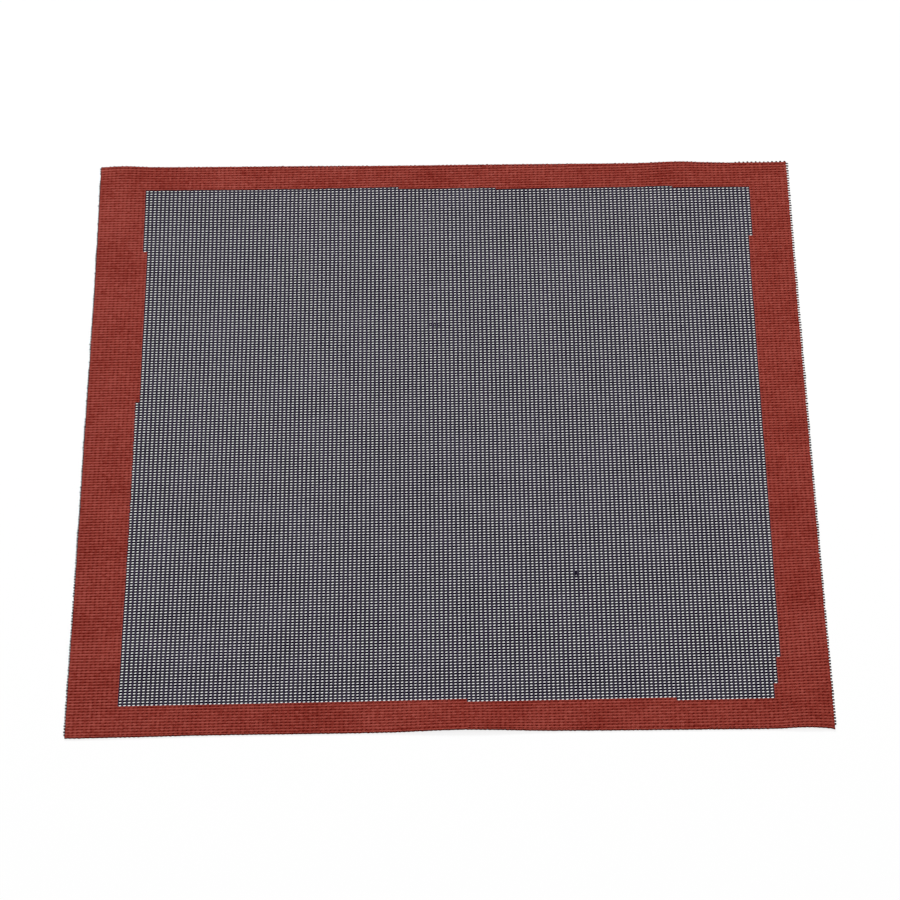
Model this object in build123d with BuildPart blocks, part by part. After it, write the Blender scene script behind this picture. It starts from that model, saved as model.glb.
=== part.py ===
# Perforated silicone baking mat: a woven glass mesh coated in black silicone, with a red silicone
# border printed on both faces. Millimetres, +Z up, +X across the mat, +Y along it.
# The origin is the centre of the underside, which lies on the tray.
from build123d import *
import os

# The cut sheet
mat_width = 300.0
mat_length = 400.0

# The red border, measured from the cut edge to the open mesh
side_border = 19.7
end_border = 19.0
border_thickness = 0.15
border_margin = 0.35  # black edge left bare by the print
right_border_margin = 1.3  # the print stops short of the weft yarns' cut ends here

# The coated mesh, from the underside up: silicone, weft yarns, warp yarns, silicone
cover_thickness = 0.1
weft_thickness = 0.15
warp_thickness = 0.15

# The open field: each gap stands for a block of about ten by ten of the mesh's own holes
gap_columns = 15
gap_rows = 20
bar_width = 7.0
rim_lip = 0.6  # black rim that shows inside the red border

# Glass yarns, as flat ribbons that run the whole sheet inside the bars and the rim
yarn_width = 4.0

# Levels
mesh_level = border_thickness
weft_level = mesh_level + cover_thickness
warp_level = weft_level + weft_thickness
mesh_thickness = cover_thickness + weft_thickness + warp_thickness + cover_thickness
mesh_top_level = mesh_level + mesh_thickness

# Plan sizes that follow from the ones above
window_width = mat_width - 2 * side_border
window_length = mat_length - 2 * end_border
field_width = window_width - 2 * rim_lip
field_length = window_length - 2 * rim_lip
gap_width = (field_width - (gap_columns - 1) * bar_width) / gap_columns
gap_length = (field_length - (gap_rows - 1) * bar_width) / gap_rows
column_pitch = gap_width + bar_width
row_pitch = gap_length + bar_width
rim_yarn_spacing_x = mat_width - side_border
rim_yarn_spacing_y = mat_length - end_border
print_width = mat_width - border_margin - right_border_margin
print_length = mat_length - 2 * border_margin
print_centre_x = (border_margin - right_border_margin) / 2


# Warp yarns: one ribbon in each bar that runs along the mat, and one under each side border
with BuildPart() as glass_warp_yarns:
    with BuildSketch(Plane.XY.offset(warp_level)):
        with GridLocations(column_pitch, 0, gap_columns - 1, 1):
            Rectangle(yarn_width, mat_length)
        with GridLocations(rim_yarn_spacing_x, 0, 2, 1):
            Rectangle(yarn_width, mat_length)
    extrude(amount=warp_thickness)
glass_warp_yarns.part.label = "glass_warp_yarns"


# Weft yarns: the same across the mat, lying against the underside of the warp yarns
with BuildPart() as glass_weft_yarns:
    with BuildSketch(Plane.XY.offset(weft_level)):
        with GridLocations(0, row_pitch, 1, gap_rows - 1):
            Rectangle(mat_width, yarn_width)
        with GridLocations(0, rim_yarn_spacing_y, 1, 2):
            Rectangle(mat_width, yarn_width)
    extrude(amount=weft_thickness)
glass_weft_yarns.part.label = "glass_weft_yarns"


# Black silicone coating: one holed net with a plain rim, moulded round the yarns, whose ends
# show at the cut edges
with BuildPart() as mesh_coating:
    with BuildSketch(Plane.XY.offset(mesh_level)):
        Rectangle(mat_width, mat_length)
        with GridLocations(column_pitch, row_pitch, gap_columns, gap_rows):
            Rectangle(gap_width, gap_length, mode=Mode.SUBTRACT)
    extrude(amount=mesh_thickness)
    add([glass_warp_yarns.part, glass_weft_yarns.part], mode=Mode.SUBTRACT)
mesh_coating.part.label = "mesh_coating"


# Red border, lower layer: the face that the mat lies on
with BuildPart() as border_lower:
    with BuildSketch():
        with Locations((print_centre_x, 0)):
            Rectangle(print_width, print_length)
        Rectangle(window_width, window_length, mode=Mode.SUBTRACT)
    extrude(amount=border_thickness)
border_lower.part.label = "border_lower"


# Red border, upper layer: the same print on the other face of the mesh
with BuildPart() as border_upper:
    with BuildSketch(Plane.XY.offset(mesh_top_level)):
        with Locations((print_centre_x, 0)):
            Rectangle(print_width, print_length)
        Rectangle(window_width, window_length, mode=Mode.SUBTRACT)
    extrude(amount=border_thickness)
border_upper.part.label = "border_upper"


os.makedirs("parts", exist_ok=True)
export_step(glass_warp_yarns.part, "parts/glass_warp_yarns.step")
export_step(glass_weft_yarns.part, "parts/glass_weft_yarns.step")
export_step(mesh_coating.part, "parts/mesh_coating.step")
export_step(border_lower.part, "parts/border_lower.step")
export_step(border_upper.part, "parts/border_upper.step")
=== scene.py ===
import math

import bpy
import numpy as np
from mathutils import Matrix, Vector


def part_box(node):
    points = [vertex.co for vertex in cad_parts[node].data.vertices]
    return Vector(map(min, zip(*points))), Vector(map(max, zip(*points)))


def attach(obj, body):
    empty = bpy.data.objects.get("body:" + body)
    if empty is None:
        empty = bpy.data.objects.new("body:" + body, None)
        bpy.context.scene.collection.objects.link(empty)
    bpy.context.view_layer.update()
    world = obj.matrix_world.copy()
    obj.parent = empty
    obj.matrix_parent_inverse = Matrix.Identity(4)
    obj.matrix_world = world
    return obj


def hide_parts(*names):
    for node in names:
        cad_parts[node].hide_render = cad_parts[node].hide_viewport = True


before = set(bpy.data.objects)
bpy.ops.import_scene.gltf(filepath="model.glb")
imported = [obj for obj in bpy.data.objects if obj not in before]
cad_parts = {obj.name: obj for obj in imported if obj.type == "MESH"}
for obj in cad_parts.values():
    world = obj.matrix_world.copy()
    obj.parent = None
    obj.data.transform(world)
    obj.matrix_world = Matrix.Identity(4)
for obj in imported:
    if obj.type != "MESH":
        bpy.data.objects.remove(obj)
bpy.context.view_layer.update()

MM = 0.001
TAU = 2 * math.pi

# The weave: cells between neighbouring yarns, counted on the mat, with a yarn on each side of a cell.
# The weft runs at a slant to the cut edges, so no one column has all the rows
COLUMNS = 170
ROWS = 216
SLANT_ROWS = 2  # rows that only the right half has at the front

# The mat's levels and sheet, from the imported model
print_low, print_high = (np.array(corner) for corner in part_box("border_upper"))
TOP = print_high[2]
MIDDLE = TOP / 2

# Strands of coated yarn
WARP_WIDTH = 0.80 * MM
WEFT_WIDTH = 1.20 * MM
WARP_LIFT = 0.24 * MM  # crest above the mat's middle, between crossings
WEFT_LIFT = 0.20 * MM
CROSSING_LIFT = 0.25 * MM
WEAVE_LIFT = 0.010 * MM  # the warp shows over and under by turns
LIFT_CHANCE = 0.03  # how much lifts differ, as a share of them
SWAY_STEP = 9  # cells from one knot of a yarn's wander to the next
WARP_SWAY = 0.035 * MM
WEFT_SWAY = 0.040 * MM

# The flat glass yarns inside the strands, the warp over the weft
YARN_LEVEL = 0.048 * MM  # above or below the mat's middle
YARN_HALF_DEPTH = 0.044 * MM
WARP_YARN_HALF = 0.277 * MM
WEFT_YARN_HALF = 0.364 * MM
YARN_SIDES = 6
WARP_POINTS = 56
WEFT_POINTS = 44
YARN_OVERHANG = 0.1  # of a cell: how far the yarns run past the middle of the outermost one across them
WEFT_CLEARANCE = 0.2  # of a cell: nearer than this to the cut edge, a weft has been cut away
SHORTEST_WEFT = 4  # in cells: a weft that reaches no further than this is left out

# The red print over the strands and in the holes that it fills
PRINT_WEFT_WIDTH = 1.00 * MM  # a filled hole's dimple is a little longer than the hole
PRINT_CROSSING_LIFT = 0.40 * MM
PRINT_WEFT_LIFT = 0.39 * MM
PRINT_WARP_LIFT = 0.15 * MM
PRINT_RIM_SHARE = 0.76  # of the crest beside it
PRINT_FLOOR_LIFT = 0.06 * MM
PRINT_FLOOR_CHANCE = 0.25  # how much floors differ in height, as a share of it
PRINT_CENTRE_LIFT = 0.05 * MM
PRINT_CREST_CHANCE = 0.13  # how much the crests' painted light differs at random
PRINT_HOLLOW_CHANCE = 0.12
PRINT_HOLLOW_LIMITS = (-0.1, 0.3)
END_SHADE_EASING = 0.09  # the print's painted shade in the hollows and painted light on the crests come nearer each other at the mat's ends

# The print's inner edge
PRINT_REACH = 0.16 * MM  # past the middle of the yarn that the print ends on, towards the open mesh
FRONT_PRINT_REACH = 0.02 * MM
BACK_PRINT_REACHES = (0.02 * MM, 0.60 * MM)  # the least and the most
BACK_PRINT_LINE = 180.1 * MM  # the print's straight back edge, which the weft runs over at a slant
BACK_PRINT_SLOPE = -0.0055
BACK_PRINT_FOLLOW = 0.5  # the share of the way to that line that the print goes
LEFT_BULGE = 0.36 * MM  # how much further in the left edge reaches along its middle
LEFT_BULGE_MIDDLE = -35 * MM
LEFT_BULGE_HALF = 70 * MM
END_BAND = 30 * MM  # from the mat's front or back: the print's inner edge there lies within it

# The print's outer edge
PRINT_EDGE_CHANCE = 0.18  # how ragged it is, as a share of its reach
PRINT_LIP_DROP = 0.22 * MM  # from the crest to the foot of the print's edge on the mesh
RIGHT_TOOTH = 0.8 * MM  # further out on each weft
RIGHT_NOTCH = 0.15 * MM  # and this much out between wefts, less so towards the back
RIGHT_NOTCH_RISE = -0.20 * MM
LEFT_TOOTH = 0.12 * MM
EDGE_DENT = 0.24 * MM  # the notch between two warps, front and back
BLUNT_CORNER = 0.75  # a corner's reach as a share of the edge's

# The strip of black mesh along the cut edges
EDGE_YARN_HALF = 0.42 * MM  # half the width of the outermost yarns
BARE_EDGES = {  # added to that half width, where more or less of the strip shows
    "left": 0.12 * MM,
    "right": -0.30 * MM,
    "front": -0.20 * MM,
    "back": 0.30 * MM,
}
BARE_RAGGEDNESS = 0.042 * MM
EDGE_FLATNESS = 0.26  # height of that strip over its width
EDGE_SIDES = 10
BARE_EDGE_RELIEF = 0.2  # where the strip lies on the scale from painted shade at 0 to painted light at 1, a little above the cut ends at 0
BARE_OVERHANG = 0.2  # of a cell: how far a side's strip runs on past the corner

# The yarns' cut ends: how far past the outermost yarn they stand out, in mean and in spread, and their
# coating's half width and its height over its width
RIGHT_END_REACH = (1.05 * MM, 0.09 * MM)
RIGHT_END_HALF = 0.51 * MM
RIGHT_END_TAPER = 0.04 * MM  # wider at the front by this, narrower at the back
RIGHT_END_FLATNESS = 0.36
LEFT_END_REACH = (0.50 * MM, 0.10 * MM)
LEFT_REACH_TAPER = 0.09 * MM  # longer at the front by this, shorter at the back
LEFT_END_HALF = 0.54 * MM
LEFT_END_FLATNESS = 0.45
BACK_END_REACH = (0.26 * MM, 0.09 * MM)
BACK_END_HALF = 0.46 * MM
FRONT_END_REACH = (0.10 * MM, 0.06 * MM)
FRONT_END_TUCK = 0.34 * MM  # how far these are drawn in under the print
FRONT_END_HALF = 0.30 * MM
WARP_END_FLATNESS = 0.55
END_REACH_LIMITS = (0.1 * MM, 1.3 * MM)
TOOTHED_FROM = 158  # the warp from which on the cut ends stand out of the back edge
TOOTH_REACH = 0.50 * MM
LONG_TOOTH_EXTRA = 0.26 * MM  # on every other one
END_SHARES = np.array([0.0, 0.35, 0.7, 0.93, 1.0])  # the points along a cut end
END_SWELL = np.array([1.0, 1.0, 0.97, 0.86, 0.60])  # its width at each
END_SIDES = 8
END_SIZE_CHANCE = 0.08
END_RISE_CHANCE = 0.02 * MM

# Lattice of yarns in the print's outline
FIRST_WARP = print_low[0] + EDGE_YARN_HALF
LAST_WARP = print_high[0] - EDGE_YARN_HALF
FRONT_CUT = print_low[1] + EDGE_YARN_HALF
BACK_CUT = print_high[1] - EDGE_YARN_HALF
PITCH_X = (LAST_WARP - FIRST_WARP) / COLUMNS
PITCH_Y = (BACK_CUT - FRONT_CUT) / (ROWS - SLANT_ROWS)
FIRST_WEFT = FRONT_CUT - SLANT_ROWS * PITCH_Y

# Where the open field begins and ends, in cells: it steps where the print skips a yarn.
# Each entry is (from this row or column on, boundary)
LEFT_STEPS = [(0, 11), (123, 12), (182, 11)]
RIGHT_STEPS = [(0, 158), (15, 159), (24, 160), (184, 161)]
FRONT_STEPS = [(0, 12), (89, 11), (136, 10)]
BACK_STEPS = [(0, 207), (74, 206), (98, 205), (142, 204)]
EDGE_STEP = 0.15  # of a cell: the jog in the cut edge where it passes from one weft to the next

# How much further forward the cut edges run than FRONT_CUT and BACK_CUT
FRONT_CUT_FORWARD = 0.25 * MM
BACK_CUT_FORWARD = 1.0 * MM

# The holes, and the dimples over those that the print fills
CORNER_SHARE = 0.86  # how square they are: 1 is square, 0.71 is round
HOLE_TILT = 0.05  # of a cell: a hole's right side lies this much further back than its middle
HOLE_SPREAD = 0.03  # how much holes differ in size
DIMPLE_SPREAD = 0.05
DIMPLE_DRIFT = 0.035  # of a cell: how far the dimples stray sideways
NARROWED_HOLES = {  # (row, column): how open the hole is, where silicone has run into it
    (55, 114): 0.1,
    (54, 114): 0.6,
    (151, 81): 0.7,
    (151, 82): 0.6,
    (151, 83): 0.7,
    (150, 82): 0.8,
    (150, 83): 0.8,
}

# A cell's boundary loop, anticlockwise from its front left corner: corners and middles of sides
LOOP = 8
HOLE_X = np.array([-CORNER_SHARE, 0, CORNER_SHARE, 1, CORNER_SHARE, 0, -CORNER_SHARE, -1])
HOLE_Y = np.array([-CORNER_SHARE, -1, -CORNER_SHARE, 0, CORNER_SHARE, 1, CORNER_SHARE, 0])
CELL_X = np.array([-1, 0, 1, 1, 1, 0, -1, -1]) / 2
CELL_Y = np.array([-1, -1, -1, 0, 1, 1, 1, 0]) / 2
SIDES = {  # points of the loop on each side, and the way out of it
    "front": ((0, 1, 2), (0, -1)),
    "right": ((2, 3, 4), (1, 0)),
    "back": ((4, 5, 6), (0, 1)),
    "left": ((6, 7, 0), (-1, 0)),
}

# Loops of points inside a cell's boundary: at 1 on the hole's edge, at more than 1 inside it.
# Relief is 1 on a bare crest and 0 in a hollow; the materials paint it as shade, darkest at 0, with
# painted light at 1
MESH_RINGS = ((0.62, 0.80, 0.55), (1.0, 0.0, 0.05), (0.62, -0.80, 0.55))  # with shares of height and of relief; the hole's edge is nearly at full painted shade
MESH_RELIEF = (0.75, 0.0, 1.0)  # on crossings, wefts and warps: the wefts get full painted shade, the warps painted light
PRINT_RIM_RING = 0.86
PRINT_RIM_RELIEF = 0.75  # of the crest's beside it
PRINT_FLOOR_RING = 1.25
PRINT_LIPS = ((0.62, 0.80), (1.0, 0.0))  # shares of the edge's reach and of its height
PRINT_LIP_RELIEF = (0.7, 0.1)  # of the crest's beside it: the foot of the print's edge is in painted shade
PRINT_RELIEF = (1.0, 0.97, 0.16)  # on crossings, wefts and warps: the warps between dimples get painted shade, so the dimples run into dark grooves
# a piece over 200,000 loses detail in its exported mesh
MAX_TRIANGLES = 196_000  # the most triangles in one band of the coated mesh

# A piece's unwrapped picture: its two faces in two strips, and the hidden walls in a third
CHART_MARGIN = 0.005
CHART_WIDTH = 0.99
CHART_HEIGHT = 0.47
SECOND_CHART = 0.49
WALL_CHART = 0.975
WALL_CHART_HEIGHT = 0.02
WALL_CHART_SHARE = 0.9  # of its place that a wall takes

# The same for tubes: their skins side by side, and then their two ends
TUBE_CHART = 0.95
TUBE_END_CHARTS = (0.965, 0.985)
TUBE_END_HALF_U = 0.008
TUBE_END_HALF_V = 0.4  # of a tube's place


# Shape of the sheet

def hump(x, y, at_x, at_y, wide, deep):
    """A smooth rise of 1 at (at_x, at_y), fading over wide and deep, all in millimetres."""
    return np.exp(-(((x - at_x) / wide) ** 2) - ((y - at_y) / deep) ** 2)


def sheet_lift(x, y):
    """How far the limp sheet stands off the floor, in metres, at x and y in metres."""
    x, y = x / MM, y / MM
    lift = 1.20 * hump(x, y, 6, -205, 24, 16)  # front edge, near its middle
    lift += 0.70 * hump(x, y, 139, -200, 9, 20)  # front right corner
    lift += 0.70 * hump(x, y, -140, 203, 9, 18)  # back left corner
    lift += 0.80 * hump(x, y, 102, 203, 12, 22)  # small wave in the back edge
    ripple = np.sin(x / 47 + y / 90 + 0.6) * np.sin(y / 63 - x / 130 + 1.1)
    lift += 0.08 * (1 - ripple)
    return lift * MM


def sheet_shift(x, y):
    """The weave isn't square, nor its weft straight: the yarns' shift in the sheet, in metres."""
    x, y = x / MM, y / MM
    u, v = x / 150, y / 200  # shares of half the mat's width and length

    # The warp leans and bends a little, and is drawn outwards near the side edges
    shift_x = -0.06 - 0.80 * u - 0.74 * v - 0.50 * u * v + 0.40 * u * v**2 - 0.18 * v**2
    shift_x -= (0.75 - 0.55 * np.clip(1.8 * v, 0, 1)) * np.clip((-x - 110) / 40, 0, 1)
    shift_x += (0.52 + 0.25 * hump(x, y, 150, -200, 40, 70)) * np.clip((x - 128) / 22, 0, 1)

    # The weft slants and bunches, and lies further back near the back edge and at two places at the sides
    skew = 3.23 * u - 0.47 * v + 0.18 * u * v + 0.15 - 1.10 * np.sin(3 * v)
    skew += 1.10 * np.exp(-(((v - 1) / 0.2) ** 2)) + 1.85 * hump(x, y, -150, 150, 50, 100)
    skew += 1.6 * np.clip((x - 130) / 19, 0, 1) * hump(0, y, 0, -135, 1, 42)
    return shift_x * MM, skew * MM


def cut_rows(column, front):
    """Where the cut edge, front or back, crosses these columns, in rows and parts of a row."""
    x = FIRST_WARP + column * PITCH_X
    at = x / MM
    if front:
        bow = 0.25 * np.tanh((at + 30) / 30)
        bow = bow - 1.70 * hump(at, 0, -158, 0, 50, 1) - 0.5 * hump(at, 0, 151, 0, 6, 1)
        edge = FRONT_CUT + bow * MM - FRONT_CUT_FORWARD
    else:
        bow = 0.30 * hump(at, 0, -140, 0, 30, 1) - 0.35 * hump(at, 0, -27, 0, 30, 1)
        bow = bow - 0.3 * hump(at, 0, 132, 0, 20, 1)
        edge = BACK_CUT + bow * MM - BACK_CUT_FORWARD
    row = (edge - FIRST_WEFT) / PITCH_Y
    for _ in range(5):
        row = (edge - FIRST_WEFT - sheet_shift(x, FIRST_WEFT + row * PITCH_Y)[1]) / PITCH_Y
    return row


class Sway:
    """The small wander of each yarn along its run: knots of chance, joined smoothly."""

    def __init__(self, seed, yarns, cells, step, size):
        self.knots = np.random.default_rng(seed).normal(0, size, (yarns, cells // step + 4))
        self.step = step

    def at(self, yarn, along):
        """The shift of yarn, which may lie between two, at this many cells along it."""
        low = np.clip(np.floor(yarn).astype(int), 0, len(self.knots) - 2)
        share = np.clip(yarn - low, 0, 1)
        knot = np.clip(along / self.step + 1, 0, self.knots.shape[1] - 2)
        before = np.floor(knot).astype(int)
        t = knot - before
        t = t * t * (3 - 2 * t)
        one = self.knots[low, before] * (1 - t) + self.knots[low, before + 1] * t
        two = self.knots[low + 1, before] * (1 - t) + self.knots[low + 1, before + 1] * t
        return one * (1 - share) + two * share


warp_sway = Sway(11, COLUMNS + 1, ROWS, SWAY_STEP, WARP_SWAY)
weft_sway = Sway(12, ROWS + 1, COLUMNS, SWAY_STEP, WEFT_SWAY)


def place(column, row, height):
    """Points of the sheet, in metres, from places counted in cells and a height over the underside."""
    column, row, height = np.broadcast_arrays(column, row, height)
    x = FIRST_WARP + column * PITCH_X + warp_sway.at(column, row)
    y = FIRST_WEFT + row * PITCH_Y + weft_sway.at(row, column)
    shift_x, shift_y = sheet_shift(x, y)
    return np.stack([x + shift_x, y + shift_y, height + sheet_lift(x, y)], axis=-1)


# Meshes

def stepped(steps, count):
    """The boundary in each of count rows or columns, from a table of steps."""
    line = np.zeros(count, int)
    for start, value in steps:
        line[start:] = value
    return line


def sheet_cells():
    """Which cells the cut edges leave, by row and column."""
    row = np.arange(ROWS)[:, None]
    return (row >= FRONT_ROWS) & (row < BACK_ROWS)


def trimmed(column, row, edge_rows, front):
    """Rows of boundary points, moved so that a column's outermost cell ends on the cut edge."""
    inward = 1 if front else -1
    left = edge_rows[np.clip(np.floor(column - 0.01).astype(int), 0, COLUMNS - 1)]
    right = edge_rows[np.clip(np.floor(column + 0.01).astype(int), 0, COLUMNS - 1)]
    edge = np.maximum(left, right) if front else np.minimum(left, right)
    cut = cut_rows(column, front)
    inside = (row - edge) * inward
    length = (edge - cut) * inward + 1
    at_step = EDGE_STEP * (left != right)
    in_cell, on_edge, just_out = inside > 0.25, inside > -0.25, inside > -0.75
    moved = np.select([in_cell, on_edge, just_out], [length / 2, at_step, EDGE_STEP / 2], 0)
    return np.where(inside > 0.75, row, cut + inward * moved)


def open_cells():
    """Which cells the print leaves open, by row and column."""
    row, column = np.mgrid[0:ROWS, 0:COLUMNS]
    left, right = stepped(LEFT_STEPS, ROWS), stepped(RIGHT_STEPS, ROWS)
    front, back = stepped(FRONT_STEPS, COLUMNS), stepped(BACK_STEPS, COLUMNS)
    across = (column >= left[:, None]) & (column < right[:, None])
    return across & (row >= front[None, :]) & (row < back[None, :])


def boundary_ids():
    """The ids of each cell's eight loop points, which neighbours share, and each id's place and kind.

    A place is in cells. The kinds are 0 on a crossing, 1 on a weft and 2 on a warp.
    """
    row, column = np.mgrid[0:ROWS, 0:COLUMNS]
    corner = np.arange((ROWS + 1) * (COLUMNS + 1)).reshape(ROWS + 1, COLUMNS + 1)
    weft = corner.size + np.arange((ROWS + 1) * COLUMNS).reshape(ROWS + 1, COLUMNS)
    warp = corner.size + weft.size + np.arange(ROWS * (COLUMNS + 1)).reshape(ROWS, COLUMNS + 1)
    ids = np.stack(
        [
            corner[:-1, :-1],
            weft[:-1],
            corner[:-1, 1:],
            warp[:, 1:],
            corner[1:, 1:],
            weft[1:],
            corner[1:, :-1],
            warp[:, :-1],
        ],
        axis=-1,
    )
    places = np.zeros((corner.size + weft.size + warp.size, 2))
    places[ids.reshape(-1), 0] = (column[..., None] + 0.5 + CELL_X).reshape(-1)
    places[ids.reshape(-1), 1] = (row[..., None] + 0.5 + CELL_Y).reshape(-1)
    places[:, 1] = trimmed(places[:, 0], places[:, 1], FRONT_ROWS, True)
    places[:, 1] = trimmed(places[:, 0], places[:, 1], BACK_ROWS, False)
    kind = np.repeat([0, 1, 2], [corner.size, weft.size, warp.size])
    return ids, places, kind


MIDDLES = np.arange(COLUMNS) + 0.5
FRONT_ROWS = np.round(cut_rows(MIDDLES, True)).astype(int)
BACK_ROWS = np.round(cut_rows(MIDDLES, False)).astype(int)
SHEET = sheet_cells()
OPEN = open_cells()
IDS, ID_PLACES, ID_KIND = boundary_ids()


def crest_heights(crossing, weft, warp, weave):
    """The height of each boundary point over the middle of the mat."""
    heights = np.choose(ID_KIND, [crossing, weft, warp]).astype(float)
    parity = (np.round(ID_PLACES).astype(int).sum(axis=1) % 2) * 2 - 1
    heights += np.where(ID_KIND == 0, weave * parity, 0)
    return heights * (1 + LIFT_CHANCE * np.random.default_rng(5).normal(size=len(heights)))


def hole_ring(cells, share, spread, seed, weft_width, drift=0):
    """The loop of points around each cell's hole, in cells: share 1 is its edge, 0 the yarns' crests."""
    chance = np.random.default_rng(seed)
    column, row = cells[:, 1] + 0.5, cells[:, 0] + 0.5
    openness = np.array([NARROWED_HOLES.get(tuple(cell), 1.0) for cell in cells.tolist()])
    half_x = openness * (PITCH_X - WARP_WIDTH) / 2 / PITCH_X
    half_x = half_x * (1 + spread * chance.normal(size=len(cells)))
    half_y = openness * (PITCH_Y - weft_width) / 2 / PITCH_Y
    half_y = half_y * (1 + spread * chance.normal(size=len(cells)))
    aside = drift * np.clip(chance.normal(size=len(cells)), -2, 2)
    columns = (column + share * aside)[:, None] + CELL_X * (1 - share)
    columns = columns + share * half_x[:, None] * HOLE_X
    rows = row[:, None] + CELL_Y * (1 - share) + share * (half_y[:, None] * HOLE_Y + HOLE_TILT * HOLE_X)
    ends = ((True, FRONT_ROWS, FRONT_ROWS), (False, BACK_ROWS, BACK_ROWS - 1))
    for front, edge_rows, outermost in ends:
        edge = edge_rows[cells[:, 1]][:, None]
        cut = cut_rows(column, front)[:, None]
        beyond = edge + 1 if front else edge - 1
        squeezed = beyond + (rows - beyond) * (beyond - cut) / (beyond - edge)
        at_edge = (cells[:, 0] == outermost[cells[:, 1]])[:, None]
        rows = np.where(at_edge, squeezed, rows)
    return columns, rows


def bridge(outer, inner):
    """Quads between two loops of points, each (cells, points); both run the same way round."""
    return np.stack([outer, np.roll(outer, -1, 1), np.roll(inner, -1, 1), inner], -1).reshape(-1, 4)


def side_pairs(cells, belongs):
    """The stretches of boundary that cells share with no cell that belongs: two ids and the way out."""
    pairs, outs = [], []
    padded = np.pad(belongs, 1)
    for points, (out_x, out_y) in SIDES.values():
        edge = cells[~padded[cells[:, 0] + 1 + out_y, cells[:, 1] + 1 + out_x]]
        loop = IDS[edge[:, 0], edge[:, 1]]
        for start, end in zip(points[:-1], points[1:]):
            pairs.append(loop[:, [start, end]])
            outs.append(np.tile([out_x, out_y], (len(edge), 1)))
    return np.concatenate(pairs), np.concatenate(outs)


def normals_of(points, faces):
    """Smooth normals of a mesh of quads and triangles, given as lists of faces."""
    normals = np.zeros_like(points)
    for group in faces:
        a, b, c = points[group[:, 0]], points[group[:, 1]], points[group[:, 2]]
        d = points[group[:, -1]]
        cross = np.cross(c - a, d - b) if group.shape[1] > 3 else np.cross(b - a, c - a)
        for k in range(group.shape[1]):
            for axis in range(3):
                normals[:, axis] += np.bincount(group[:, k], cross[:, axis], len(points))
    length = np.linalg.norm(normals, axis=1, keepdims=True)
    return normals / np.maximum(length, 1e-30)


def plan_charts(columns, rows, groups, tall, start):
    """Where faces lie in a strip of the piece's unwrapped picture, seen from above.

    The faces in groups share one scale. A tall piece is turned on its side.
    """
    along, across = (rows, columns) if tall else (columns, rows)
    used = np.unique(np.concatenate([group.reshape(-1) for group in groups]))
    u, v = ((at - at[used].min()) / (at[used].max() - at[used].min()) for at in (along, across))
    u = CHART_MARGIN + CHART_WIDTH * u
    v = start + CHART_MARGIN + CHART_HEIGHT * v
    return [np.stack([u[group], v[group]], -1) for group in groups]


def wall_charts(count):
    """Where the hidden walls between pieces lie in that picture: side by side in a strip at its end."""
    left = np.arange(count)[:, None] / max(count, 1)
    box = np.array([[0, 0], [WALL_CHART_SHARE, 0], [WALL_CHART_SHARE, 1], [0, 1]])
    low = WALL_CHART + WALL_CHART_HEIGHT * box[:, 1]
    return np.stack([left + box[:, 0] / max(count, 1), low + 0 * left], -1)


def wall_faces(pairs, count):
    """The hidden walls that stand on these stretches of boundary."""
    return np.concatenate([pairs + count, pairs[:, ::-1]], axis=1)


def make_piece(name, points, faces, charts, normals, relief, material, replaced):
    """A Blender mesh of the points that faces use, with the whole sheet's normals, riding on the mat.

    charts gives each face's place in the unwrapped picture. relief is 1 on the yarns' crests and 0 in
    the hollows; the materials paint shade by it: darkest at 0, with painted light at 1.
    """
    corners = np.concatenate([group.reshape(-1) for group in faces])
    used, index = np.unique(corners, return_inverse=True)
    sizes = np.concatenate([np.full(len(group), group.shape[1]) for group in faces])
    starts = np.concatenate([[0], np.cumsum(sizes)[:-1]])
    mesh = bpy.data.meshes.new(name)
    mesh.vertices.add(len(used))
    mesh.vertices.foreach_set("co", points[used].astype(np.float32).reshape(-1))
    mesh.loops.add(len(index))
    mesh.loops.foreach_set("vertex_index", index.astype(np.int32).reshape(-1))
    mesh.polygons.add(len(sizes))
    mesh.polygons.foreach_set("loop_start", starts.astype(np.int32))
    mesh.polygons.foreach_set("use_smooth", np.ones(len(sizes), bool))
    unwrapped = np.concatenate([chart.reshape(-1) for chart in charts]).astype(np.float32)
    mesh.uv_layers.new(name="OFBake").data.foreach_set("uv", unwrapped)
    mesh.update(calc_edges=True)
    mesh.validate()
    if normals is not None:
        mesh.normals_split_custom_set_from_vertices(normals[used].astype(np.float32))
    values = np.broadcast_to(relief, len(points))[used]
    relief_values = mesh.attributes.new("relief", "FLOAT", "POINT")
    relief_values.data.foreach_set("value", values.astype(np.float32))
    mesh.materials.append(material)
    piece = bpy.data.objects.new(name, mesh)
    bpy.context.scene.collection.objects.link(piece)
    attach(piece, "root")
    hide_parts(replaced)
    return piece


# Materials

CLOUD_SCALE = 45  # broad mottling of the silicone, then its grain and its skin
GRAIN_SCALE = 900
SKIN_SCALE = 2600
SKIN_DEPTH = 0.02 * MM
FILAMENT_SCALE = 5200
SKIN_STRENGTH = 0.35
SKIN_ROUGHNESS = 0.07  # how much the skin varies the roughness
SILICONE_IOR = 1.41
GLOSS_TINT = (0.96, 0.88, 1.0, 1)
HOLLOW_GLOSS = 0.2  # the hollows' gloss as a share of the crests'


def colour_mix(nodes, links, factor, low, high):
    mix = nodes.new("ShaderNodeMix")
    mix.data_type = "RGBA"
    mix.inputs["A"].default_value = (*low, 1)
    mix.inputs["B"].default_value = (*high, 1)
    links.new(factor, mix.inputs["Factor"])
    return mix.outputs["Result"]


def noise(nodes, links, coordinates, scale, detail):
    texture = nodes.new("ShaderNodeTexNoise")
    texture.inputs["Scale"].default_value = scale
    texture.inputs["Detail"].default_value = detail
    links.new(coordinates, texture.inputs["Vector"])
    return texture.outputs["Fac"]


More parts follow.
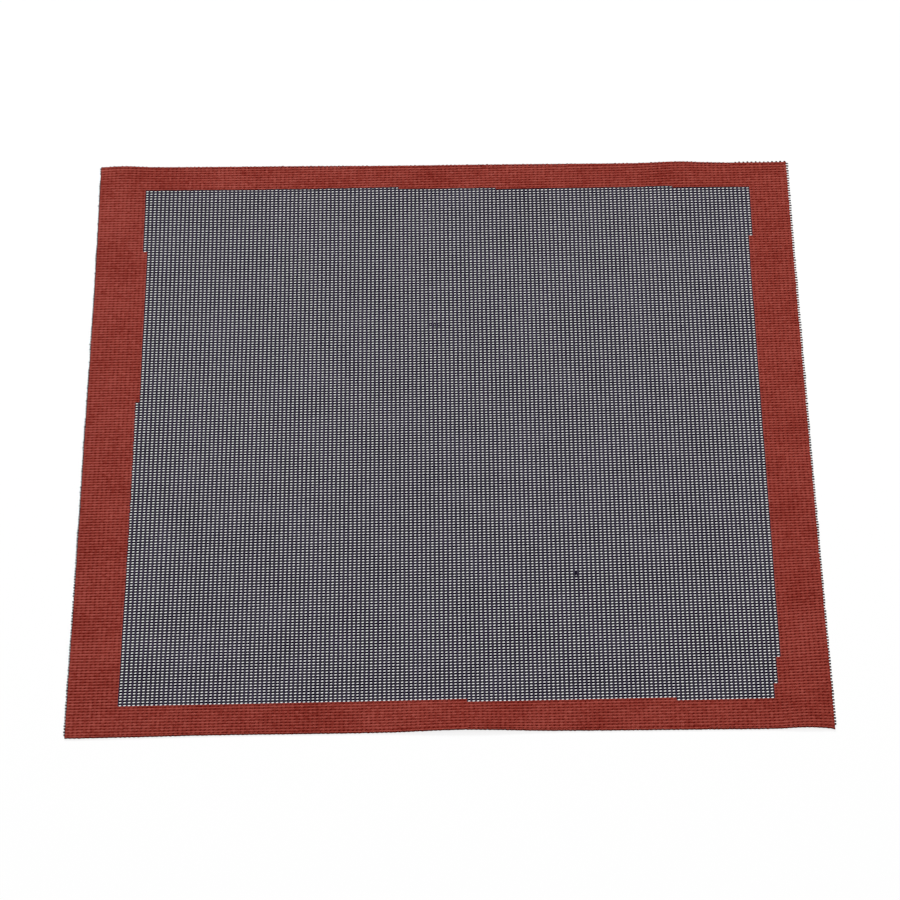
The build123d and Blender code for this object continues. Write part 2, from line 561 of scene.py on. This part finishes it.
def spread(nodes, links, value, low, high):
    """value from 0.3 to 0.7, where noise mostly lies, stretched to low to high."""
    stretch = nodes.new("ShaderNodeMapRange")
    stretch.inputs["From Min"].default_value = 0.3
    stretch.inputs["From Max"].default_value = 0.7
    stretch.inputs["To Min"].default_value = low
    stretch.inputs["To Max"].default_value = high
    links.new(value, stretch.inputs["Value"])
    return stretch.outputs["Result"]


def math_node(nodes, links, operation, first, second):
    node = nodes.new("ShaderNodeMath")
    node.operation = operation
    links.new(first, node.inputs[0])
    links.new(second, node.inputs[1])
    return node.outputs[0]


def silicone(name, hollow, crest, smooth, matt, mottle, specular):
    """Silicone rubber over yarn: painted shade in the hollows and a painted sheen on the crests, mottled,
    with a fine skin.
    """
    material = bpy.data.materials.new(name)
    material.use_nodes = True
    nodes, links = material.node_tree.nodes, material.node_tree.links
    shader = nodes["Principled BSDF"]
    coordinates = nodes.new("ShaderNodeTexCoord").outputs["Object"]
    relief = nodes.new("ShaderNodeAttribute")
    relief.attribute_name = "relief"
    clouds = spread(nodes, links, noise(nodes, links, coordinates, CLOUD_SCALE, 3.0), -mottle, mottle)
    grain = spread(nodes, links, noise(nodes, links, coordinates, GRAIN_SCALE, 2.0), -mottle, mottle)
    skin = noise(nodes, links, coordinates, SKIN_SCALE, 3.0)
    mottling = math_node(nodes, links, "ADD", clouds, grain)
    # Painted shade and light: relief 0 takes the hollow colour and 1 the crest colour, with random
    # mottling added
    shade_and_mottle = math_node(nodes, links, "ADD", relief.outputs["Fac"], mottling)
    links.new(colour_mix(nodes, links, shade_and_mottle, hollow, crest), shader.inputs["Base Color"])
    finish = nodes.new("ShaderNodeMapRange")
    finish.inputs["To Min"].default_value = matt
    finish.inputs["To Max"].default_value = smooth
    links.new(shade_and_mottle, finish.inputs["Value"])
    fine = spread(nodes, links, skin, -SKIN_ROUGHNESS, SKIN_ROUGHNESS)
    links.new(math_node(nodes, links, "ADD", finish.outputs["Result"], fine), shader.inputs["Roughness"])
    bump = nodes.new("ShaderNodeBump")
    bump.inputs["Strength"].default_value = SKIN_STRENGTH
    bump.inputs["Distance"].default_value = SKIN_DEPTH
    links.new(skin, bump.inputs["Height"])
    links.new(bump.outputs["Normal"], shader.inputs["Normal"])
    shader.inputs["IOR"].default_value = SILICONE_IOR
    gloss = nodes.new("ShaderNodeMapRange")
    gloss.inputs["To Min"].default_value = HOLLOW_GLOSS * specular
    gloss.inputs["To Max"].default_value = specular
    links.new(shade_and_mottle, gloss.inputs["Value"])
    links.new(gloss.outputs["Result"], shader.inputs["Specular IOR Level"])
    shader.inputs["Specular Tint"].default_value = GLOSS_TINT
    return material


# Painted light in the black: its hollow colour is painted shade on the wefts and in the holes, its crest
# colour a painted sheen on the warps and crossings
BLACK = silicone(
    "black_silicone",
    hollow=(0.0014, 0.0008, 0.0030),
    crest=(0.0190, 0.0124, 0.0370),
    smooth=0.55,
    matt=0.85,
    mottle=0.12,
    specular=0.13,
)
# Painted light in the red: its hollow colour is partly deeper pigment pooled in the dimples and partly
# painted shade, its crest colour partly a painted sheen on the ridges
RED = silicone(
    "red_silicone",
    hollow=(0.128, 0.0069, 0.0042),
    crest=(0.314, 0.0425, 0.0248),
    smooth=0.60,
    matt=0.90,
    mottle=0.13,
    specular=0.14,
)


def glass_yarn():
    """Glass-fibre yarn: pale filaments, twisted along the run."""
    material = bpy.data.materials.new("glass_yarn")
    material.use_nodes = True
    nodes, links = material.node_tree.nodes, material.node_tree.links
    shader = nodes["Principled BSDF"]
    shader.inputs["Specular IOR Level"].default_value = 0.4
    coordinates = nodes.new("ShaderNodeTexCoord").outputs["Object"]
    filaments = spread(nodes, links, noise(nodes, links, coordinates, FILAMENT_SCALE, 1.0), 0, 1)
    pale = colour_mix(nodes, links, filaments, (0.20, 0.20, 0.19), (0.42, 0.42, 0.39))
    links.new(pale, shader.inputs["Base Color"])
    links.new(spread(nodes, links, filaments, 0.35, 0.6), shader.inputs["Roughness"])
    return material


GLASS = glass_yarn()


# The coated mesh

def mesh_band(cells, quads, columns, rows, band, count):
    """One band of rows: its upper and lower faces and its walls, with their charts."""
    chosen = np.isin(cells[:, 0], band)
    inside = np.zeros_like(OPEN)
    inside[band] = OPEN[band]
    pairs, _ = side_pairs(cells[chosen], inside)
    walls = wall_faces(pairs, count)
    upper, lower = (half.reshape(-1, 4) for half in np.split(quads[chosen], 2, axis=1))
    charts = plan_charts(columns, rows, [upper], False, 0)
    charts += plan_charts(columns, rows, [lower], False, SECOND_CHART)
    return [upper, lower, walls], charts + [wall_charts(len(walls))]


def coated_mesh():
    """Every open cell's hole, as loops from the yarns' crests down through the hole to the underside."""
    cells = np.argwhere(OPEN)
    crests = crest_heights(CROSSING_LIFT, WEFT_LIFT, WARP_LIFT, WEAVE_LIFT)
    crest_relief = np.choose(ID_KIND, MESH_RELIEF)
    count = len(crests)
    loop = IDS[cells[:, 0], cells[:, 1]]
    columns, rows = [ID_PLACES[:, 0]] * 2, [ID_PLACES[:, 1]] * 2
    lifts, relief = [crests, -crests], [crest_relief] * 2
    for share, lift_share, relief_share in MESH_RINGS:
        ring_columns, ring_rows = hole_ring(cells, share, HOLE_SPREAD, 7, WEFT_WIDTH)
        columns.append(ring_columns.reshape(-1))
        rows.append(ring_rows.reshape(-1))
        lifts.append((crests[loop] * lift_share).reshape(-1))
        relief.append(crest_relief[loop].reshape(-1) * relief_share)
    columns, rows, lifts, relief = (np.concatenate(part) for part in (columns, rows, lifts, relief))
    points = place(columns, rows, MIDDLE + lifts)

    first = 2 * count + np.arange(len(MESH_RINGS))[:, None, None] * loop.size
    loops = [loop, *(first + np.arange(loop.size).reshape(loop.shape)), loop + count]
    quads = [bridge(a, b).reshape(len(cells), LOOP, 4) for a, b in zip(loops[:-1], loops[1:])]
    quads = np.stack(quads, 1).reshape(len(cells), -1, 4)
    normals = normals_of(points, [quads.reshape(-1, 4)])
    bands = math.ceil(len(cells) * 2 * quads.shape[1] / MAX_TRIANGLES)
    pieces = []
    for number, band in enumerate(np.array_split(np.unique(cells[:, 0]), bands), 1):
        faces, charts = mesh_band(cells, quads, columns, rows, band, count)
        piece = make_piece(
            f"coated_mesh_{number:02d}",
            points, faces, charts, normals, relief, BLACK, "mesh_coating",
        )
        pieces.append(piece)
    return pieces


# The red border

def print_reach():
    """How far the print's inner edge passes the middle of the yarn that it ends on, at each id."""
    x, y, _ = np.moveaxis(place(ID_PLACES[:, 0], ID_PLACES[:, 1], MIDDLE), -1, 0)
    behind_line = y - (BACK_PRINT_LINE + BACK_PRINT_SLOPE * x)
    at_back = np.clip(PRINT_REACH + BACK_PRINT_FOLLOW * behind_line, *BACK_PRINT_REACHES)
    bulge = LEFT_BULGE * np.exp(-(((y - LEFT_BULGE_MIDDLE) / LEFT_BULGE_HALF) ** 4)) * (x < 0)
    reach = np.where(y > print_high[1] - END_BAND, at_back, PRINT_REACH + bulge)
    return np.where(y < print_low[1] + END_BAND, FRONT_PRINT_REACH, reach)


def print_lips(crests, pairs, outs, chance):
    """Two rows of points outside the print's boundary: on its rounded edge and at that edge's foot."""
    count = len(crests)
    way_out = np.zeros((count, 2))
    for end in (0, 1):
        np.add.at(way_out, pairs[:, end], outs)
    way_out = np.clip(way_out, -1, 1)
    at_corner = np.abs(way_out).sum(axis=1) > 1.5
    outer = np.isin(np.arange(count), side_pairs(np.argwhere(SHEET), SHEET)[0])
    at_left, at_right = ID_PLACES[:, 0] < 0.01, ID_PLACES[:, 0] > COLUMNS - 0.01

    reach = np.where(outer, EDGE_YARN_HALF, print_reach())
    reach = reach * (1 + PRINT_EDGE_CHANCE * chance.normal(size=count))
    notch = RIGHT_NOTCH + RIGHT_NOTCH_RISE * (2 * ID_PLACES[:, 1] / ROWS - 1)
    reach += np.where(at_right, np.where(ID_KIND == 0, RIGHT_TOOTH, notch), 0)
    reach += np.where(at_left & (ID_KIND == 0), LEFT_TOOTH, 0)
    reach -= np.where(outer & (ID_KIND == 1), EDGE_DENT, 0)
    reach *= np.where(at_corner, BLUNT_CORNER, 1)
    lips = []
    for reach_share, height_share in PRINT_LIPS:
        column = ID_PLACES[:, 0] + way_out[:, 0] * reach * reach_share / PITCH_X
        row = ID_PLACES[:, 1] + way_out[:, 1] * reach * reach_share / PITCH_Y
        lift = np.where(outer, height_share * crests, crests - (1 - height_share) * PRINT_LIP_DROP)
        lips.append((column, row, lift))
    return lips


def print_shades(cells, count, chance):
    """How much painted light the print has at each boundary point, and in each cell's hollow, where 0 is
    full painted shade.
    """
    crest = np.choose(ID_KIND, PRINT_RELIEF) + PRINT_CREST_CHANCE * chance.normal(size=count)
    hollow = np.clip(PRINT_HOLLOW_CHANCE * chance.normal(size=(len(cells), 1)), *PRINT_HOLLOW_LIMITS)
    row = ID_PLACES[:, 1]
    in_ends = (row < FRONT_STEPS[0][1] + 0.1) | (row > BACK_STEPS[-1][1] - 0.1)
    crest -= np.where(in_ends & (ID_KIND < 2), END_SHADE_EASING, 0)
    loop = IDS[cells[:, 0], cells[:, 1]]
    hollow += np.where(in_ends[loop].all(axis=1, keepdims=True), END_SHADE_EASING, 0)
    return crest, hollow


def print_points(cells, crests, lips, chance):
    """All the print's points, as columns, rows, lifts and relief.

    In this order: boundary crests, the same on the mat's middle, two lips, rims, floors and centres.
    """
    loop = IDS[cells[:, 0], cells[:, 1]]
    rim, floor = (
        hole_ring(cells, share, DIMPLE_SPREAD, 8, PRINT_WEFT_WIDTH, DIMPLE_DRIFT)
        for share in (PRINT_RIM_RING, PRINT_FLOOR_RING)
    )
    floor_chance = PRINT_FLOOR_CHANCE * chance.normal(size=(len(cells), 1))
    floor_lifts = np.full(loop.shape, PRINT_FLOOR_LIFT) * (1 + floor_chance)
    crest, hollow = print_shades(cells, len(crests), chance)

    columns = [ID_PLACES[:, 0]] * 2 + [lip[0] for lip in lips]
    columns += [rim[0].reshape(-1), floor[0].reshape(-1), floor[0].mean(axis=1)]
    rows = [ID_PLACES[:, 1]] * 2 + [lip[1] for lip in lips]
    rows += [rim[1].reshape(-1), floor[1].reshape(-1), floor[1].mean(axis=1)]
    lifts = [crests, np.zeros(len(crests))] + [lip[2] for lip in lips]
    lifts += [(PRINT_RIM_SHARE * crests[loop]).reshape(-1), floor_lifts.reshape(-1)]
    lifts.append(np.full(len(cells), PRINT_CENTRE_LIFT))
    relief = [crest, 0 * crest] + [share * crest for share in PRINT_LIP_RELIEF]
    relief.append(PRINT_RIM_RELIEF * crest[loop].reshape(-1))
    relief += [(hollow + 0 * floor_lifts).reshape(-1), hollow.reshape(-1)]
    return [np.concatenate(part) for part in (columns, rows, lifts, relief)]


def dimple_faces(cells, count):
    """Quads from each filled cell's boundary down to its floor, and the floor's fan of triangles."""
    loop = IDS[cells[:, 0], cells[:, 1]]
    first = 4 * count
    rim_ids = first + np.arange(loop.size).reshape(loop.shape)
    floor_ids = rim_ids + loop.size
    centre = np.repeat(first + 2 * loop.size + np.arange(len(cells)), LOOP)
    steps = ((loop, rim_ids), (rim_ids, floor_ids))
    quads = [bridge(a, b).reshape(len(cells), LOOP, 4) for a, b in steps]
    fans = np.stack([floor_ids.reshape(-1), np.roll(floor_ids, -1, 1).reshape(-1), centre], -1)
    return np.stack(quads, 1).reshape(len(cells), -1, 4), fans.reshape(len(cells), LOOP, 3)


def border_strips(cells):
    """Which of the filled cells each of the border's four strips has."""
    row, column = cells[:, 0], cells[:, 1]
    left, right = column < LEFT_STEPS[0][1], column >= RIGHT_STEPS[0][1]
    middle, front = ~left & ~right, row < ROWS / 2
    return {"left": left, "right": right, "front": middle & front, "back": middle & ~front}


def strip_faces(cells, filled, quads, fans, count):
    """One strip's faces: those shown, those hidden on the mat's middle, and walls to the next strips."""
    inside = np.zeros_like(filled)
    inside[cells[:, 0], cells[:, 1]] = True
    all_pairs, _ = side_pairs(cells, inside)
    free_pairs, _ = side_pairs(cells, filled)
    is_free = np.isin(all_pairs @ [count, 1], free_pairs @ [count, 1])
    under = np.concatenate([free_pairs + count, free_pairs[:, ::-1] + 3 * count], axis=1)
    backs = IDS[cells[:, 0], cells[:, 1]][:, ::-1] + count
    shown = [quads.reshape(-1, 4), fans.reshape(-1, 3), ring_out(free_pairs, count)]
    return shown, [under, backs], wall_faces(all_pairs[~is_free], count)


def printed_border():
    """The print on both faces: ridges over the yarns and a dimple in each filled hole."""
    filled = SHEET & ~OPEN
    cells = np.argwhere(filled)
    crests = crest_heights(PRINT_CROSSING_LIFT, PRINT_WEFT_LIFT, PRINT_WARP_LIFT, 0)
    crests = np.minimum(crests, TOP - MIDDLE)
    count = len(crests)
    chance = np.random.default_rng(21)
    pairs, outs = side_pairs(cells, filled)
    lips = print_lips(crests, pairs, outs, chance)
    columns, rows, lifts, relief = print_points(cells, crests, lips, chance)
    quads, fans = dimple_faces(cells, count)
    surface = [quads.reshape(-1, 4), fans.reshape(-1, 3), ring_out(pairs, count)]

    pieces = []
    for layer, way in (("upper", 1), ("lower", -1)):
        points = place(columns, rows, MIDDLE + way * lifts)
        turned = slice(None, None, way)
        normals = normals_of(points, [group[:, turned] for group in surface])
        for side, chosen in border_strips(cells).items():
            tall = side in ("left", "right")
            shown, hidden, walls = strip_faces(cells[chosen], filled, quads[chosen], fans[chosen], count)
            charts = plan_charts(columns, rows, shown, tall, 0)
            charts += plan_charts(columns, rows, hidden, tall, SECOND_CHART)
            charts = [chart[:, turned] for chart in charts + [wall_charts(len(walls))]]
            faces = [group[:, turned] for group in shown + hidden + [walls]]
            piece = make_piece(
                f"red_border_{layer}_{side}",
                points, faces, charts, normals, relief, RED, f"border_{layer}",
            )
            pieces.append(piece)
    return pieces


def ring_out(pairs, count):
    """Quads from the print's boundary points over its rounded lip to the lip's foot."""
    steps = [pairs, pairs + 2 * count, pairs + 3 * count]
    rings = [np.concatenate([b, a[:, ::-1]], axis=1) for a, b in zip(steps[:-1], steps[1:])]
    return np.concatenate(rings)


# Yarns

def tubes(columns, rows, heights, radii, sides, flat):
    """Closed tubes along lines of points, each line a row of the arrays: points, faces and charts.

    columns and rows are in cells, heights and radii in metres. flat squashes the tubes in height.
    """
    line = place(columns, rows, heights)
    ahead = np.gradient(line, axis=1)
    ahead /= np.linalg.norm(ahead, axis=2, keepdims=True)
    across = np.cross(ahead, [0, 0, 1.0])
    across /= np.linalg.norm(across, axis=2, keepdims=True)
    rise = np.cross(across, ahead)
    turn = TAU * (np.arange(sides) + 0.5) / sides
    ring = across[:, :, None] * np.cos(turn)[:, None] + rise[:, :, None] * (flat * np.sin(turn))[:, None]
    points = line[:, :, None] + ring * radii[..., None, None]
    number, along = line.shape[:2]
    ids = np.arange(number * along * sides).reshape(number, along, sides)
    quads = bridge(ids[:, :-1].reshape(-1, sides), ids[:, 1:].reshape(-1, sides))
    tube, step, side = (at.reshape(-1, 1) for at in np.mgrid[0:number, 0 : along - 1, 0:sides])
    u = TUBE_CHART * (step + np.array([0, 0, 1, 1])) / (along - 1)
    v = (tube + (side + np.array([0, 1, 1, 0])) / sides) / number
    charts = [np.stack([u, v], -1)]
    for centre in TUBE_END_CHARTS:
        u = centre + TUBE_END_HALF_U * np.cos(turn)
        v = (np.arange(number)[:, None] + 0.5 + TUBE_END_HALF_V * np.sin(turn)) / number
        charts.append(np.stack([u + 0 * v, v], -1))
    return points.reshape(-1, 3), [quads, ids[:, 0], ids[:, -1, ::-1]], charts


def weft_spans():
    """The wefts between the slanting cut edges, with the first and last column that each one reaches."""
    across = np.arange(COLUMNS + 1)
    weft = np.arange(ROWS + 1)[:, None]
    behind_front = weft > cut_rows(across, True) + WEFT_CLEARANCE
    inside = behind_front & (weft < cut_rows(across, False) - WEFT_CLEARANCE)
    long_enough = inside.sum(axis=1) > SHORTEST_WEFT
    first = inside.argmax(axis=1)
    last = COLUMNS - inside[:, ::-1].argmax(axis=1)
    return np.flatnonzero(long_enough), first[long_enough], last[long_enough]


def yarns():
    """The glass yarns in the strands, at their real number."""
    warp = np.arange(COLUMNS + 1)[:, None] + np.zeros(WARP_POINTS)
    front, back = cut_rows(warp, True) - YARN_OVERHANG, cut_rows(warp, False) + YARN_OVERHANG
    along = front + (back - front) * np.linspace(0, 1, WARP_POINTS)
    wefts, first, last = weft_spans()
    weft = wefts[:, None] + np.zeros(WEFT_POINTS)
    run = (last - first + 2 * YARN_OVERHANG)[:, None] * np.linspace(0, 1, WEFT_POINTS)
    across = first[:, None] - YARN_OVERHANG + run
    made = []
    for name, columns, rows, level, half_width, node in (
        ("glass_warp_yarns_woven", warp, along, YARN_LEVEL, WARP_YARN_HALF, "glass_warp_yarns"),
        ("glass_weft_yarns_woven", across, weft, -YARN_LEVEL, WEFT_YARN_HALF, "glass_weft_yarns"),
    ):
        heights = np.full(rows.shape, MIDDLE + level)
        radii = np.full(rows.shape, half_width / math.cos(math.pi / YARN_SIDES))
        flat = YARN_HALF_DEPTH / radii[0, 0]
        points, faces, charts = tubes(columns, rows, heights, radii, YARN_SIDES, flat)
        made.append(make_piece(name, points, faces, charts, None, 0, GLASS, node))
    return made


def edge_piece(name, tube, relief):
    """A piece of the black silicone along the cut edges, made of tubes."""
    points, faces, charts = tube
    return make_piece(name, points, faces, charts, None, relief, BLACK, "mesh_coating")


def bare_edges():
    """The strip of black mesh outside the print: the outermost yarns, with their cut silicone."""
    chance = np.random.default_rng(41)
    along = np.linspace(0, 1, 2 * ROWS)[None, :]
    across = np.linspace(-BARE_OVERHANG, COLUMNS + BARE_OVERHANG, 2 * COLUMNS)[None, :]
    lines = []
    for column in (0, COLUMNS):
        front, back = cut_rows(column, True) - BARE_OVERHANG, cut_rows(column, False) + BARE_OVERHANG
        lines.append((column + 0 * along, front + (back - front) * along))
    for front in (True, False):
        lines.append((across, cut_rows(across, front)))
    made = []
    for (side, extra), (columns, rows) in zip(BARE_EDGES.items(), lines):
        half_width = EDGE_YARN_HALF + extra + BARE_RAGGEDNESS * chance.normal(size=rows.shape)
        heights = np.full(rows.shape, MIDDLE)
        tube = tubes(columns, rows, heights, half_width, EDGE_SIDES, EDGE_FLATNESS)
        made.append(edge_piece(f"bare_edge_{side}", tube, BARE_EDGE_RELIEF))
    return made


def end_reach(chance, count, reach):
    """How far each of count yarns stands out past the centre of the outermost yarn across it."""
    return EDGE_YARN_HALF + np.clip(chance.normal(*reach, count), *END_REACH_LIMITS)


def cut_ends():
    """Coated ends of the yarns that stand out of the print at the four cut edges."""
    chance = np.random.default_rng(31)
    warps = np.arange(COLUMNS + 1)
    wefts, first, last = weft_spans()
    left_wefts, right_wefts = wefts[first == 0], wefts[last == COLUMNS]
    right = end_reach(chance, len(right_wefts), RIGHT_END_REACH)
    left = end_reach(chance, len(left_wefts), LEFT_END_REACH)
    left -= LEFT_REACH_TAPER * (2 * left_wefts / ROWS - 1)
    back = end_reach(chance, COLUMNS + 1, BACK_END_REACH)
    front = end_reach(chance, COLUMNS + 1, FRONT_END_REACH) - FRONT_END_TUCK
    back += np.where(warps >= TOOTHED_FROM, TOOTH_REACH + LONG_TOOTH_EXTRA * (warps % 2), 0)
    right_half = RIGHT_END_HALF - RIGHT_END_TAPER * (2 * right_wefts[:, None] / ROWS - 1)
    front_rows, back_rows = cut_rows(warps, True)[:, None], cut_rows(warps, False)[:, None]
    made = []
    for name, fixed, base, reach, is_warp, half_width, flat in (
        ("weft_ends_right", right_wefts, COLUMNS, right / PITCH_X, False, right_half, RIGHT_END_FLATNESS),
        ("weft_ends_left", left_wefts, 0, -left / PITCH_X, False, LEFT_END_HALF, LEFT_END_FLATNESS),
        ("warp_ends_back", warps, back_rows, back / PITCH_Y, True, BACK_END_HALF, WARP_END_FLATNESS),
        ("warp_ends_front", warps, front_rows, -front / PITCH_Y, True, FRONT_END_HALF, WARP_END_FLATNESS),
    ):
        run = base + reach[:, None] * END_SHARES
        held = fixed[:, None] + 0 * run
        size = half_width * END_SWELL * (1 + END_SIZE_CHANCE * chance.normal(size=(len(fixed), 1)))
        columns, rows = (held, run) if is_warp else (run, held)
        rise = chance.normal(0, END_RISE_CHANCE, (len(fixed), 1)) * END_SHARES
        heights = np.full(run.shape, MIDDLE) + rise
        # relief 0: the cut ends take the black's darkest colour, which in the hollows is painted shade
        made.append(edge_piece(name, tubes(columns, rows, heights, size, END_SIDES, flat), 0.0))
    return made


mesh_pieces = coated_mesh()
border_pieces = printed_border()
warp_cloth, weft_cloth = yarns()
edge_pieces = bare_edges() + cut_ends()


# Floor, lamps and camera

FLOOR_HALF = 6.0
FLOOR_GREY = (0.80, 0.80, 0.80, 1)
SHADOW_SHARE = 0.15  # how much of the shown floor's brightness the light on it makes
ROOM_LIGHT = 0.22
CAMERA_DISTANCE = 2.953
CAMERA_ANGLES = (0.198, 35.91, -0.652)  # round the mat, up and roll, in degrees
CAMERA_AIM = Vector((0.92 * MM, -11.71 * MM, 0))
LENS = 287.4
SENSOR = 36


def seen_ray(nodes, links):
    """1 for rays that the camera, a gloss or a transmission sends, 0 for those that only carry light."""
    path = nodes.new("ShaderNodeLightPath")
    glossy, through = path.outputs["Is Glossy Ray"], path.outputs["Is Transmission Ray"]
    shine = math_node(nodes, links, "MAXIMUM", glossy, through)
    return math_node(nodes, links, "MAXIMUM", path.outputs["Is Camera Ray"], shine)


def floor():
    """A white floor that still takes the mat's shadow; only what sees it gets it at full white."""
    half = FLOOR_HALF
    mesh = bpy.data.meshes.new("floor")
    corners = [(-half, -half, 0), (half, -half, 0), (half, half, 0), (-half, half, 0)]
    mesh.from_pydata(corners, [], [(0, 1, 2, 3)])
    plane = bpy.data.objects.new("floor", mesh)
    bpy.context.scene.collection.objects.link(plane)
    material = bpy.data.materials.new("white_floor")
    material.use_nodes = True
    nodes, links = material.node_tree.nodes, material.node_tree.links
    nodes.clear()
    out = nodes.new("ShaderNodeOutputMaterial")
    lit = nodes.new("ShaderNodeBsdfDiffuse")
    lit.inputs["Color"].default_value = FLOOR_GREY
    bright = nodes.new("ShaderNodeBsdfDiffuse")
    bright.inputs["Color"].default_value = (1, 1, 1, 1)
    glow = nodes.new("ShaderNodeEmission")
    glow.inputs["Color"].default_value = (1, 1, 1, 1)
    shown = nodes.new("ShaderNodeMixShader")
    shown.inputs["Fac"].default_value = SHADOW_SHARE
    seen = nodes.new("ShaderNodeMixShader")
    links.new(glow.outputs[0], shown.inputs[1])
    links.new(bright.outputs[0], shown.inputs[2])
    links.new(seen_ray(nodes, links), seen.inputs["Fac"])
    links.new(lit.outputs[0], seen.inputs[1])
    links.new(shown.outputs[0], seen.inputs[2])
    links.new(seen.outputs[0], out.inputs["Surface"])
    mesh.materials.append(material)


def studio():
    """A soft white room: the camera sees it white, the mat sees a dimmer one."""
    world = bpy.data.worlds.new("studio")
    bpy.context.scene.world = world
    world.use_nodes = True
    nodes, links = world.node_tree.nodes, world.node_tree.links
    nodes.clear()
    out = nodes.new("ShaderNodeOutputWorld")
    room = nodes.new("ShaderNodeBackground")
    room.inputs["Strength"].default_value = ROOM_LIGHT
    white = nodes.new("ShaderNodeBackground")
    white.inputs["Color"].default_value = (1, 1, 1, 1)
    white.inputs["Strength"].default_value = 1.0
    mix = nodes.new("ShaderNodeMixShader")
    links.new(seen_ray(nodes, links), mix.inputs["Fac"])
    links.new(room.outputs[0], mix.inputs[1])
    links.new(white.outputs[0], mix.inputs[2])
    links.new(mix.outputs[0], out.inputs["Surface"])


def area_lamp(name, place_at, size, watts):
    light = bpy.data.lights.new(name, "AREA")
    light.shape = "RECTANGLE"
    light.size, light.size_y = size
    light.energy = watts
    lamp = bpy.data.objects.new(name, light)
    bpy.context.scene.collection.objects.link(lamp)
    lamp.location = place_at
    lamp.rotation_euler = (-Vector(place_at)).to_track_quat("-Z", "Y").to_euler()


def camera():
    """The photograph's view: a long lens from the front, 36 degrees up, with a slight roll."""
    azimuth, elevation, roll = (math.radians(angle) for angle in CAMERA_ANGLES)
    level = math.cos(elevation)
    back = Vector((math.sin(azimuth) * level, -math.cos(azimuth) * level, math.sin(elevation)))
    right = (-back).cross(Vector((0, 0, 1))).normalized()
    up = right.cross(-back)
    turned_right = right * math.cos(roll) + up * math.sin(roll)
    turned_up = up * math.cos(roll) - right * math.sin(roll)
    data = bpy.data.cameras.new("camera")
    data.sensor_width = SENSOR
    data.lens = LENS
    data.clip_end = 50
    eye = bpy.data.objects.new("camera", data)
    bpy.context.scene.collection.objects.link(eye)
    turn = Matrix((turned_right, turned_up, back)).transposed().to_4x4()
    eye.matrix_world = Matrix.Translation(CAMERA_AIM + back * CAMERA_DISTANCE) @ turn
    bpy.context.scene.camera = eye


floor()
studio()
area_lamp("back_softbox", (-0.8, 3.3, 3.0), (3.0, 1.6), 200)
area_lamp("top_softbox", (0.3, -0.1, 2.2), (1.2, 1.2), 14)
camera()
bpy.context.scene.view_settings.view_transform = "Standard"
